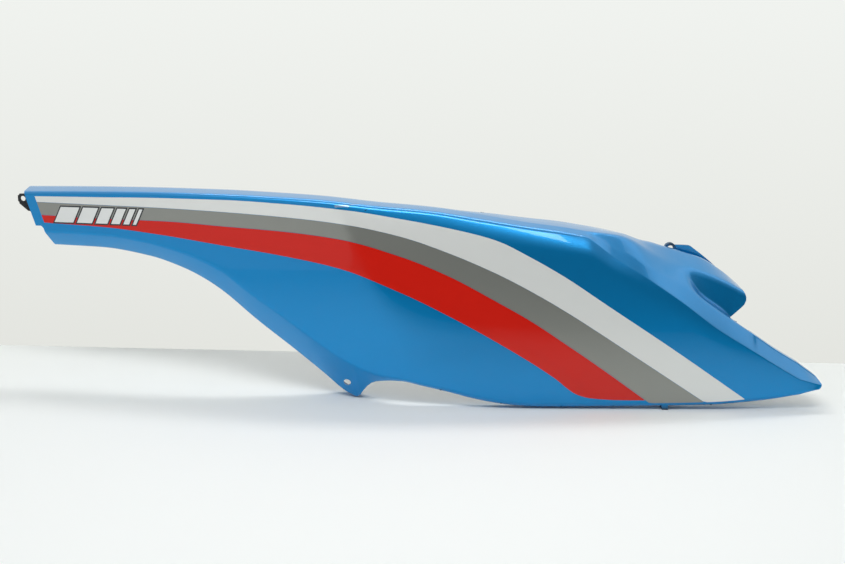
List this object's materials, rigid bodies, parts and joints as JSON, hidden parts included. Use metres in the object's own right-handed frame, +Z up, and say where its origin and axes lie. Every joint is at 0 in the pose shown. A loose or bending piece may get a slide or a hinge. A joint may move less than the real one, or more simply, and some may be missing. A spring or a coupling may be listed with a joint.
{
  "type": "scooter side panel",
  "caption": "Long swept moulded side panel for a scooter, with a pointed nose, a narrow tail arm, a scooped fin, hidden screw lugs and curved racing stripes.",
  "frame": {"origin": "middle of the bounding box at the height of the lowest point, which the panel stands on", "axes": "+X from the tail to the nose, +Y from the painted face into the panel, +Z up"},
  "size_m": [0.8212, 0.112, 0.2049],
  "materials": {
    "blue_paint": "clear-coated metallic paint over moulded plastic",
    "white_film": "silver-white film",
    "grey_film": "gunmetal film",
    "red_film": "gloss red film"
  },
  "bodies": {
    "root": {"side_panel": "blue_paint", "stripe_white": "white_film", "stripe_grey": "grey_film", "stripe_red": "red_film"}
  },
  "joints": []
}
